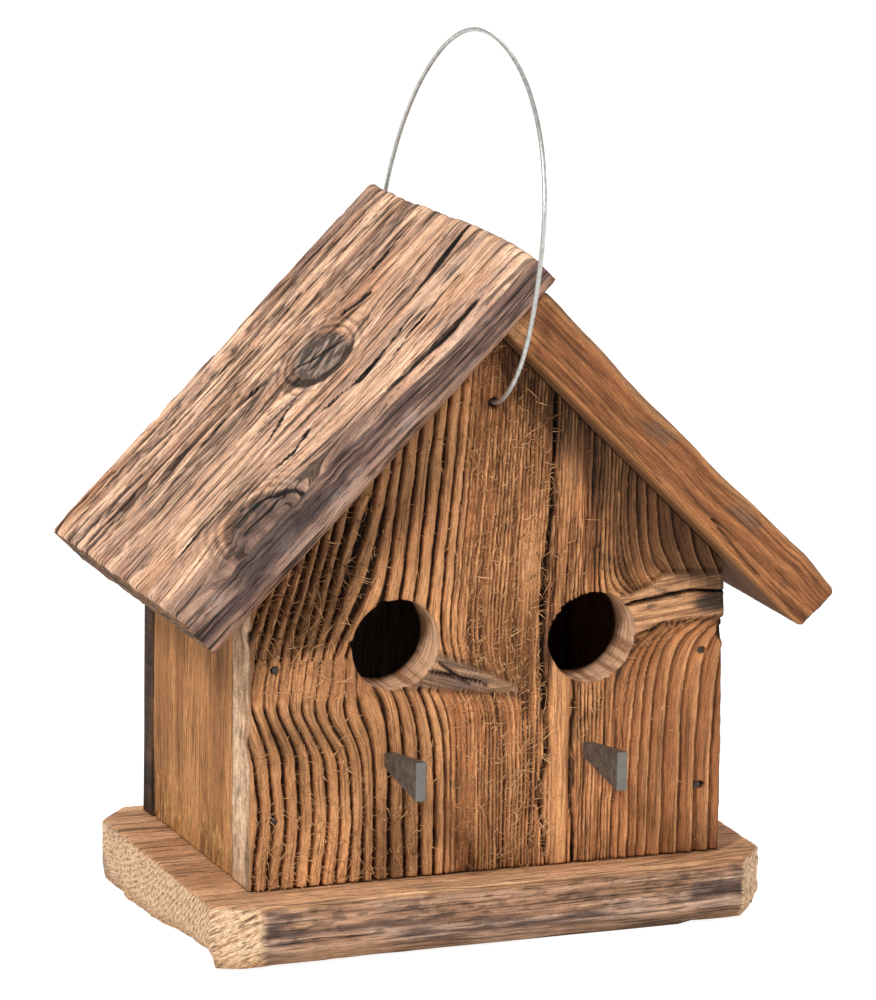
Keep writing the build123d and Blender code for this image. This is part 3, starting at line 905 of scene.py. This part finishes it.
def make_back_panel():
    low, high = corners_mm("back_panel")
    board = Board([-HALF_WIDTH, APEX_X, HALF_WIDTH], over_base, under_roof, high[1] - low[1], 0.75, 150, 8)
    x, z, d = board.s, board.t, board.d
    relief, broad, fine, q = plain_fields(x, z, 151, 6.0, 0.9)
    knot_s, knot_z = 34, 96
    near = np.hypot((x - knot_s) / 9, (z - knot_z) / 12)
    relief = relief * smooth(0.9, 1.4, near) + 0.4 * (near < 1.0)
    long_crack = crack(x, z, ((-40, 178), (-43, 130), (-41, 70)), 1.3, 160)
    board.shape(relief + 3 * long_crack, 1.2, 0.6)
    tint = blend((118, 88, 66), (82, 60, 46), smooth(0.35, 0.65, broad))
    tint = blend(tint, (56, 42, 34), smooth(0.6, 0.85, 1 - fine) * 0.8)
    grey = smooth(0.45, 0.7, noise(x / 26, z / 70, 161))
    tint = blend(tint, (120, 108, 98), grey * 0.5)
    knot_rings = 0.5 + 0.5 * np.sin(near * 17 + 3 * noise(x / 4, z / 5, 162))
    knot_colour = blend((96, 70, 52), (48, 36, 30), knot_rings)
    tint = np.where((near < 1.7)[:, None], blend(tint, knot_colour, smooth(1.7, 0.9, near)), tint)
    # Painted shade in the long crack, and a dark ring at the knot's rim.
    tint = blend(tint, (30, 24, 20), np.maximum(long_crack, bell(near - 1.0, 0.12)) * 0.9)
    edge = blend((84, 58, 40), (52, 35, 25), smooth(0.35, 0.65, noise(d / 2.4, z / 40, 163)))
    tint = repaint(tint, (board.on_sides(START, FAR_S), edge))
    material = wood_material("back_wood", 0.9, 0.34, 0.25, hairlines=0.5)
    board.build("back_panel_wood", (0, high[1], 0), (1, 0, 0), (0, 0, 1), (0, 1, 0), tint,
                (q, z, 0 * z + 5), material, "back_panel", "back_wood")


# ---- roof ----

roof_low, roof_high = corners_mm("roof_board_left")
ROOF_FRONT, ROOF_BACK = roof_low[1], roof_high[1]
LEFT_THICK, RIGHT_THICK = 20.0, 22.0
LEFT_TOP, LEFT_EAVE = -27.5, 160.0        # along the slope, from the gable's point
RIGHT_EAVE = 171.0
ROOF_CRACKS = (                       # a line, how wide it is painted dark as shade, and how deep it is
    (((-29, -29.5), (-10, -33), (16, -37.8)), 4.2, 1.2),
    (((93, -88), (97, -70), (104, -62), (112, -60), (124, -61)), 3.0, 0.3),
    (((97, -70), (106, -73), (119, -70)), 2.6, 0.3),
    (((16, -48), (46, -52), (66, -46)), 2.4, 1.0),
    (((36, -16), (43, -11), (50, -6), (58, 3)), 2.0, 0.4),
    (((-20, 14), (4, 12), (22, 8)), 2.0, 1.0),
    (((60, 14), (88, 18), (112, 16)), 2.4, 1.0),
    (((-12, -54), (16, -57), (34, -60)), 1.9, 0.8),
    (((66, -20), (84, -26), (98, -25)), 2.0, 0.9),
    (((-26, 46), (2, 44), (40, 47)), 1.9, 1.0),
    (((-4, -77), (18, -77.5), (45, -76)), 2.8, 1.2),
    (((16, -3), (22.9, -0.6), (29, 3.4)), 4.2, 0.5),
    (((70, -48), (84, -52), (92, -50)), 2.2, 0.8),
    (((112, -40), (126, -38), (140, -40)), 2.0, 0.8),
)
KNOT_A = ((47.3, -8.2), (10.8, 4.7), (2.5, -15.5))       # middle, and half of each axis
KNOT_B = ((112, -76), (13, 5), (1, -24))


def in_knot(s, t, knot):
    """How far out of an oval knot a point is, 1 at its rim, and the two parts of that."""
    (middle_s, middle_t), (long_s, long_t), (short_s, short_t) = knot
    area = long_s * short_t - long_t * short_s
    s, t = s - middle_s, t - middle_t
    p = (s * short_t - t * short_s) / area
    r = (long_s * t - long_t * s) / area
    return np.hypot(p, r), p, r


def left_roof_fields(s, t):
    """The left roof's face: how deep it is worn, its colour, and the place across its grain."""
    near_a, pa, ra = in_knot(s, t, KNOT_A)
    near_b = in_knot(s, t, KNOT_B)[0]
    # The grain parts around both knots.
    q = t - 11 * np.tanh((t + 8.2) / 5) * np.exp(-np.abs(t + 8.2) / 17) * bell(s - 47, 26)
    q -= 17 * np.tanh((t + 76) / 7) * np.exp(-np.abs(t + 76) / 22) * bell(s - 112, 30)
    q += 5 * (noise(s / 80, t / 50, 201) - 0.5)
    fine = noise(q / 1.7, s / 34, 202)
    broad = noise(q / 5.5, s / 90, 203)
    dash = smooth(0.56, 0.64, noise(q / 1.2, s / 20, 204, 2))
    back_half = smooth(-10, 30, t)
    dash = dash * (0.22 + 0.78 * back_half) * (0.5 + 0.6 * smooth(10, 100, s))
    long_dark = smooth(0.56, 0.70, noise(q / 1.4, s / 60, 205, 2)) * (0.4 + 0.6 * back_half)
    # A group of long worn grooves below the knot.
    for k, middle in enumerate((3.0, 8.5, 13.0, 19.5, 26.0, 33.0, 41.0)):
        wander = 1.6 * (noise(s / 17, s * 0 + k, 207) - 0.5)
        reach = smooth(56 + 7 * (k % 3), 78, s) * smooth(152 - 9 * (k % 2), 128, s)
        long_dark = np.maximum(long_dark, bell(q - middle - wander, 0.9) * reach)
    relief = 0.75 * smooth(0.4, 0.75, 1 - fine) + 0.7 * smooth(0.5, 0.8, 1 - broad)
    relief = relief + 0.8 * dash + 1.1 * long_dark
    crescent = smooth(0.93, 1.03, near_a) * smooth(1.5, 1.28, near_a) * smooth(0.0, 0.5, ra + 0.15 * pa)
    rim_a = np.maximum(0.45 * bell(near_a - 1.08, 0.12), crescent)
    rim_b = bell(near_b - 1.0, 0.12)
    knot_a = smooth(1.06, 0.92, near_a)
    knot_b = smooth(1.05, 0.85, near_b)
    rings_a = smooth(-0.1, 0.9, np.sin(near_a * 19 + 2.5 * noise(s / 6, t / 8, 206)))
    relief = relief * (1 - knot_a) * (1 - 0.6 * knot_b) + 0.5 * knot_a
    pit = np.zeros(np.shape(s))
    crack_shade = np.zeros(np.shape(s))
    for k, (line, width, deep) in enumerate(ROOF_CRACKS):
        pit = np.maximum(pit, deep * crack(s, t, line, 0.5 * width, 211 + k))
        crack_shade = np.maximum(crack_shade, smooth(0.0, 0.7, crack(s, t, line, width, 211 + k)))
    relief = relief + pit + 0.5 * rim_a + 0.8 * rim_b

    tint = blend((246, 202, 168), (214, 166, 134), smooth(0.3, 0.7, fine))
    tint = blend(tint, (150, 110, 90), smooth(0.5, 0.75, broad) * 0.6)
    purple = smooth(0.5, 0.72, noise(q / 9, s / 55, 221))
    tint = blend(tint, (136, 108, 100), purple * 0.5)
    tint = blend(tint, (186, 124, 78), smooth(0.55, 0.75, noise(q / 12, s / 30, 222)) * 0.4)
    ring_a = smooth(2.5, 1.1, near_a) * (1 - knot_a) * rings_a
    tint = blend(tint, (92, 66, 54), ring_a * (0.6 + 0.3 * smooth(0.2, -0.6, ra)))
    ring_b = smooth(2.4, 1.0, near_b) * (0.5 + 0.5 * np.sin(near_b * 24)) * (1 - knot_b)
    tint = blend(tint, (84, 62, 54), ring_b * 0.65)
    tint = blend(tint, (62, 46, 40), np.clip(0.85 * dash + 0.7 * long_dark, 0, 0.9))
    knot_grain = noise((t + 0.6 * s) / 2.2, (s - t) / 7, 208)
    tint = blend(tint, blend((150, 128, 112), (70, 60, 54), smooth(0.35, 0.65, knot_grain)), knot_a * 0.95)
    mottle = blend((128, 104, 90), (48, 42, 41), smooth(0.36, 0.6, noise(s / 4, t / 4, 209)))
    tint = blend(tint, mottle, knot_b * 0.9)
    tint = blend(tint, (34, 26, 23), np.clip(0.95 * rim_a + 0.7 * rim_b, 0, 0.94))
    edge_t = -77 + 17 * smooth(30, 92, s)
    front = smooth(edge_t + 2, edge_t - 12, t + 5 * (noise(s / 14, t / 6, 223) - 0.5))
    tint = blend(tint, (112, 86, 76), front * (0.45 + 0.5 * fine))
    # Painted shade: near-black in the cracks.
    tint = blend(tint, (16, 12, 10), crack_shade * 0.97)
    return np.clip(relief, 0, 6.5), tint, q


def roof_wall_tint(s, t, d, thickness, seed):
    """A weathered sawn edge: grey-purple, with fine light and dark lines along it."""
    lines = noise(d / 1.3 + 0.02 * s, s / 50, seed)
    patches = noise(s / 16, d / 6, seed + 1)
    tint = blend((158, 124, 106), (78, 60, 56), smooth(0.32, 0.66, lines))
    tint = blend(tint, (172, 150, 138), smooth(0.55, 0.75, patches) * 0.3)
    tint = blend(tint, (86, 64, 58), smooth(0.5, 0.25, patches) * 0.6)
    tint = blend(tint, (150, 106, 76), smooth(0.72 * thickness, thickness, d) * 0.6)
    return tint


def end_grain_tint(t, d, seed):
    """A roof board's sawn end, with curved rings."""
    rings = np.sin(2 * np.pi * (np.hypot(d + 34, (t - 10) * 0.35) / 2.6 + 0.8 * noise(t / 20, d / 9, seed)))
    tint = blend((150, 108, 72), (104, 72, 48), 0.5 + 0.5 * rings)
    return blend(tint, (70, 50, 38), smooth(0.5, 0.8, noise(t / 5, d / 3, seed + 1)) * 0.5)


def build_on_slope(board, side, word, tint, grain, material):
    """Builds a roof board with its face up, side -1 on the left slope and 1 on the right."""
    out = side * SLOPE
    origin = (APEX_X + board.thickness * out, 0, APEX_Z + board.thickness * SLOPE)
    name = f"roof_{word}_wood"
    board.build(name, origin, (out, 0, -SLOPE), (0, 1, 0), (out, 0, SLOPE), tint, grain, material,
                f"roof_board_{word}", name)


def make_left_roof():
    board = Board([LEFT_TOP, LEFT_EAVE], lambda s: ROOF_FRONT + 0 * s, lambda s: ROOF_BACK + 0 * s,
                  LEFT_THICK, 0.75, 262, 16)
    s, t, d = board.s, board.t, board.d
    relief, tint, q = left_roof_fields(s, t)
    near_ridge = fading(s - LEFT_TOP, 14)
    askew = 4.2 * smooth(ROOF_FRONT + 20, ROOF_BACK, t) + 1.5 * noise(t / 9, d / 9, 231)
    slide_s = near_ridge * askew
    eave = fading(LEFT_EAVE - s, 5)
    slide_s -= eave * (0.8 * noise(t / 14, d / 7, 232) + 0.6 * noise(t / 2.5, d / 3, 233))
    front = fading(t - ROOF_FRONT, 4)
    back = fading(ROOF_BACK - t, 3)
    notch = 3.5 * bell(s - 100, 2.2)
    slide_t = front * 1.1 * noise(s / 20, d / 8, 234) - back * (1.8 * noise(s / 16, d / 9, 235) + notch)
    # The top's front edge is worn round, less towards the knot.
    worn = 4.6 * smooth(LEFT_TOP + 110, LEFT_TOP + 30, s) + 1.5
    a = np.maximum(t - ROOF_FRONT, 0)
    relief += worn * np.clip(1 - a / (worn * 2.2), 0, 1) ** 2
    relief += 0.9 * np.clip(1 - (s - LEFT_TOP) / 6, 0, 1) ** 2
    board.shape(relief, 2.0, 1.5, (slide_s, slide_t))
    sides = roof_wall_tint(s, t, d, LEFT_THICK, 241)
    knot = smooth(34, 12, np.abs(s - 116))
    sides = blend(sides, (60, 52, 50), knot * 0.7 * smooth(LEFT_THICK, 4, d))
    tint = repaint(
        tint, (board.on_sides(NEAR, FAR_T), sides),
        (board.on_sides(START, FAR_S), end_grain_tint(t, d, 245)), (board.kind == BACK, (138, 98, 66)))
    across = np.where(board.kind == WALL, d + 90, q)
    material = wood_material("roof_left_wood", 0.55, 0.28, 0.18, bump=0.35, hairlines=0.72)
    build_on_slope(board, -1, "left", tint, (across, s, 0 * s + 8), material)


def make_right_roof():
    front = ROOF_FRONT + 1.0
    board = Board([0, RIGHT_EAVE], lambda s: front + 0 * s, lambda s: ROOF_BACK + 0 * s,
                  RIGHT_THICK, 0.9, 160, 24)
    s, t, d = board.s, board.t, board.d
    relief, broad, fine, q = plain_fields(t, s, 301, 6.0, 0.9)
    live = fading(t - front, 10)
    wave = 2.2 * noise(s / 30, t / 40, 311) + 1.0 * noise(s / 7, t / 20, 312)
    dip = 2.6 * bell(s - 62, 16) + 1.6 * bell(s - 104, 12) + 1.2 * smooth(150, 171, s)
    relief += live * (0.6 * wave + dip)
    # The front edge: long saw lines and a split, worn under the upper end.
    on_front = fading(t - front, 2)
    lines = noise(d / 2.2 + 0.015 * s, s / 46, 313)
    dent = smooth(0.5, 0.85, 1 - lines) * 0.8
    split = crack(s, d, ((112, 15.5), (128, 17.5), (142, 18.5)), 1.1, 314)
    torn = smooth(10, 0, s) * smooth(10, 22, d)
    slide_t = on_front * (dent + 1.2 * noise(s / 22, d / 6, 315) + 1.6 * split + 3 * torn)
    eave = fading(RIGHT_EAVE - s, 4)
    slide_s = -eave * (1.0 * noise(t / 12, d / 5, 316) + 0.7 * noise(t / 2.4, d / 2.4, 317))
    slide_t -= fading(ROOF_BACK - t, 3) * 1.4 * noise(s / 16, d / 9, 318)
    board.shape(relief, 2.2, 2.4, (slide_s, slide_t))
    tint = blend((176, 124, 84), (128, 92, 68), smooth(0.35, 0.7, broad))
    tint = blend(tint, (76, 56, 46), smooth(0.62, 0.85, 1 - fine) * 0.8)
    tint = blend(tint, (128, 108, 98), smooth(0.5, 0.75, noise(q / 12, s / 60, 321)) * 0.5)
    edge = blend((160, 104, 64), (124, 76, 46), smooth(0.35, 0.68, lines))
    edge = blend(edge, (92, 54, 36), smooth(0.62, 0.8, noise(d / 3.4 + 0.03 * s, s / 60, 322)) * 0.7)
    edge = blend(edge, (98, 84, 72), smooth(0.55, 0.8, noise(s / 24, d / 7, 323)) * smooth(12, 2, d) * 0.8)
    # A painted highlight along the top of the front and back edges.
    edge = blend(edge, (206, 146, 90), smooth(2.2, 0.4, d) * 0.7)
    edge = blend(edge, (176, 122, 74), smooth(19, 22, d) * 0.6)
    edge = blend(edge, (214, 170, 118), torn * 0.8)
    # Painted shade in the split.
    edge = blend(edge, (40, 26, 18), split * 0.8)
    tint = repaint(
        tint, (board.on_sides(NEAR, FAR_T), edge),
        (board.on_sides(START, FAR_S), end_grain_tint(t, d, 325)), (board.kind == BACK, (118, 80, 50)))
    across = np.where(board.kind == WALL, d + 130, q)
    material = wood_material("roof_right_wood", 0.8, 0.3, 0.24, hairlines=0.45)
    build_on_slope(board, 1, "right", tint, (across, s, 0 * s + 12), material)


# ---- base ----

BASE_LEFT, BASE_RIGHT = base_low[0], base_high[0]
BASE_FRONT, BASE_BACK = base_low[1], base_high[1]
FRONT_SKEW = 6.5
CLIPS = {"front_left": (19.0, 8.0), "front_right": (12.5, 15.5),
         "back_right": (14.0, 13.0), "back_left": (13.0, 15.0)}


def clipped(x, end):
    """How far in the clipped corners bring the front or back edge."""
    (lx, ly), (rx, ry) = CLIPS[end + "_left"], CLIPS[end + "_right"]
    return ly * np.clip(1 - (x - BASE_LEFT) / lx, 0, 1) + ry * np.clip(1 - (BASE_RIGHT - x) / rx, 0, 1)


def base_front(x):
    return BASE_FRONT + FRONT_SKEW * (x - BASE_LEFT) / (BASE_RIGHT - BASE_LEFT) + clipped(x, "front")


def base_back(x):
    return BASE_BACK - clipped(x, "back")


def make_base():
    stops = sorted([BASE_LEFT, BASE_RIGHT] + [BASE_LEFT + CLIPS[k][0] for k in ("front_left", "back_left")]
                   + [BASE_RIGHT - CLIPS[k][0] for k in ("front_right", "back_right")])
    board = Board(stops, base_front, base_back, BASE_TOP, 0.95, 150, 24)
    x, y, d = board.s, board.t, board.d
    relief, broad, fine, q = plain_fields(y, x, 401, 7.0, 0.5)
    wall = board.kind == WALL
    near_front = fading(y - base_front(x), 3)
    bark = noise(x / 5, d / 1.3, 411)
    lines = noise(x / 34, d / 1.5, 412)
    rough = 0.9 * smooth(0.4, 0.75, lines) + 0.9 * bark * smooth(18, 13, d)
    # The waney lower edge draws back under the front.
    waney = 5.5 * np.clip((d - 15) / 10, 0, 1) ** 1.5 * (0.6 + 0.7 * noise(x / 26, d * 0, 413))
    inset = near_front * (rough + waney) * smooth(BASE_LEFT + 8, BASE_LEFT + 26, x)
    near_left = fading(x - BASE_LEFT, 3)
    hollow = 5.5 * smooth(13, 25, d) * smooth(0, -35, y) * smooth(-84, -56, y)
    hollow += 3 * smooth(17, 25, d) * smooth(-84, -62, y) * noise(y / 9, d * 0, 414)
    slide_x = near_left * (hollow + 0.5 * noise(y / 1.5, d / 1.5, 415))
    slide_x -= fading(BASE_RIGHT - x, 3) * 0.9 * noise(y / 6, d / 3, 416)
    board.shape(relief, 1.6, 1.4, (slide_x, inset))
    tint = blend((220, 170, 128), (190, 140, 100), smooth(0.35, 0.7, broad))
    tint = blend(tint, (128, 88, 58), smooth(0.6, 0.8, 1 - fine) * 0.75)
    weathered = blend((186, 150, 126), (98, 76, 66), smooth(0.34, 0.6, lines))
    brown = smooth(0.46, 0.62, noise(x / 34, d / 6, 421))
    weathered = blend(weathered, (186, 138, 102), brown * 0.55)
    weathered = blend(weathered, (58, 44, 38), smooth(0.54, 0.7, bark) * smooth(17, 13, d) * 0.55)
    weathered = blend(weathered, (176, 128, 86), smooth(3.0, 0.8, d) * 0.8)
    weathered = blend(weathered, (128, 92, 62), smooth(17, 21, d) * 0.6)
    radius = np.hypot(d + 130, y - 65) + 2 * noise(y / 24, d / 24, 424)
    turn = np.arctan2(d + 130, y - 65) * radius
    rings = smooth(-0.3, 0.9, np.sin(2 * np.pi * radius / 2.1))
    dots = smooth(0.42, 0.6, noise(turn / 0.8, radius / 2.1, 422, 2))
    end = blend((232, 194, 156), (176, 132, 94), rings * (0.25 + 1.1 * dots))
    end = blend(end, (150, 128, 108), smooth(0.5, 0.75, noise(y / 14, d / 7, 423)) * smooth(10, 60, y) * 0.7)
    end = blend(end, (168, 118, 72), smooth(17, 25, d) * 0.6)
    cut_left, cut_right = BASE_LEFT + 19, BASE_RIGHT - 12
    fade = smooth(cut_left, cut_left + 4, x + 3 * bark) * smooth(cut_right, cut_right - 2, x)
    tint = repaint(tint, (wall, end), (board.on_sides(NEAR, FAR_T), blend(end, weathered, fade)),
                   (board.kind == BACK, (132, 98, 66)))
    cut_end = wall & ((x < cut_left) | (x > cut_right))
    across = np.where(wall, d * 1.2 + 170, q)
    across = np.where(cut_end, radius * 1.6 + 400, across)
    along = np.where(cut_end, turn * 14, x)
    material = wood_material("base_wood", 0.9, 0.34, 0.24, hairlines=0.6)
    board.build("base_wood", (0, 0, BASE_TOP), (1, 0, 0), (0, 1, 0), (0, 0, 1), tint,
                (across, along, 0 * x + 20), material, "base_board", "base_wood")


# ---- wire ----

LEAN = math.radians(7)
WIRE_DIAMETER = 1.8
BAIL_ROUTE = (                       # front to back, and height above the pivot
    (-36, 9), (-36, 2.5), (-37.5, 0), (-48, 0), (-64, 0), (-74, 7), (-82, 19), (-86, 34), (-87, 50),
    (-86.5, 66), (-82, 84), (-71, 103), (-51, 119.5), (-24, 129.5), (4, 131), (29, 122.5),
    (50, 106), (64.5, 86), (72.5, 66), (75.4, 48), (75.4, 32), (73, 17), (69, 5), (60, 0),
    (48, 0), (44.6, 0), (44, 3), (44, 9),
)


def make_wire():
    curve = bpy.data.curves.new("bail_wire", "CURVE")
    curve.dimensions = "3D"
    spline = curve.splines.new("NURBS")
    spline.points.add(len(BAIL_ROUTE) - 1)
    for point, (y, rise) in zip(spline.points, BAIL_ROUTE):
        x, z = rise * math.sin(LEAN), PIVOT_Z + rise * math.cos(LEAN)
        point.co = (x * MM, y * MM, z * MM, 1)
    spline.order_u = 3
    spline.use_endpoint_u = True
    curve.resolution_u = 10
    curve.bevel_depth = WIRE_DIAMETER / 2 * MM
    curve.bevel_resolution = 4
    curve.use_fill_caps = True
    piece = add_object("bail_wire", curve)
    wire = metal_material(
        "galvanised_wire", (150, 148, 142), (220, 220, 216), 0.7, (0.28, 0.45), 420.0, 0.15)
    curve.materials.append(wire[0].material)
    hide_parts("hanging_wire")
    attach(piece, "bail")


# ---- CAD pieces kept ----

def dress_cad():
    """Steel for the perches, nails and screws, which keep their CAD meshes."""
    perch = perch_material()
    nail = metal_material("nail_steel", (28, 21, 17), (74, 62, 54), 0.3, (0.35, 0.6), 500.0)[0]
    screw = metal_material("screw_zinc", (142, 142, 136), (196, 196, 190), 0.85, (0.25, 0.4), 420.0)[0]
    coats = {"perch_left": perch, "perch_right": perch, "base_screws": screw.material}
    for row in ("front_nails", "back_nails", "roof_nails_left", "roof_nails_right", "ridge_nails"):
        coats[row] = nail.material
    for node, material in coats.items():
        for mesh_slot in frame["nodes"][node].material_slots:
            mesh_slot.material = material


# ---- camera, light and floor ----

CAMERA_PLACE = (-952.0, -2475.3, 772.3)
CAMERA_TURN = (21.072, 13.114, 0.861)          # yaw, pitch down and roll, in degrees
LENS, SENSOR_HEIGHT = 258.73, 36


def make_camera():
    yaw, pitch, roll = (math.radians(a) for a in CAMERA_TURN)
    ahead = Vector((math.sin(yaw) * math.cos(pitch), math.cos(yaw) * math.cos(pitch), -math.sin(pitch)))
    right = Vector((math.cos(yaw), -math.sin(yaw), 0))
    up = right.cross(ahead)
    turned_right = math.cos(roll) * right + math.sin(roll) * up
    turned_up = -math.sin(roll) * right + math.cos(roll) * up
    data = bpy.data.cameras.new("camera")
    data.sensor_fit = "VERTICAL"
    data.sensor_height = SENSOR_HEIGHT
    data.lens = LENS
    data.clip_end = 100
    camera = add_object("camera", data)
    matrix = Matrix((turned_right, turned_up, -ahead)).transposed().to_4x4()
    matrix.translation = Vector(CAMERA_PLACE) * MM
    camera.matrix_world = matrix
    bpy.context.scene.camera = camera


def make_light(name, place, target, size, power):
    data = bpy.data.lights.new(name, "AREA")
    data.shape = "DISK"
    data.size = size
    data.energy = power
    lamp = add_object(name, data)
    lamp.location = place
    lamp.rotation_euler = (Vector(target) - Vector(place)).to_track_quat("-Z", "Y").to_euler()


def make_studio():
    world = bpy.data.worlds.new("studio")
    world.use_nodes = True
    background = world.node_tree.nodes["Background"]
    background.inputs["Color"].default_value = (1, 1, 1, 1)
    background.inputs["Strength"].default_value = 0.52
    scene = bpy.context.scene
    scene.world = world
    scene.view_settings.view_transform = "Standard"
    middle = (0, 0, 0.13)
    make_light("key", (-1.7, -1.5, 2.0), middle, 0.5, 58)
    make_light("fill", (1.6, -1.9, 0.9), middle, 1.6, 13)
    make_light("back", (0.6, 2.0, 1.6), middle, 1.6, 16)
    floor = bpy.data.meshes.new("floor")
    reach = 9.0
    floor.from_pydata([(-reach, -reach, 0), (reach, -reach, 0), (reach, reach, 0), (-reach, reach, 0)],
                      [], [(0, 1, 2, 3)])
    m = Nodes("floor_paper")
    m.fix("Base Color", (0.3, 0.3, 0.3, 1))
    m.fix("Roughness", 0.95)
    m.fix("Emission Color", (1, 1, 1, 1))
    m.fix("Emission Strength", 0.88)
    floor.materials.append(m.material)
    piece = add_object("floor", floor)
    piece.location.z = -0.0002          # just under the base, so that the two don't share a plane


make_camera()
make_studio()
SIDE_WOOD = wood_material("side_wood", 0.7, 0.3, 0.2, hairlines=0.42)
make_front_panel()
make_front_fibres()
make_side("left_side", -1)
make_side("right_side", 1)
make_back_panel()
make_left_roof()
make_right_roof()
make_base()
make_wire()
dress_cad()
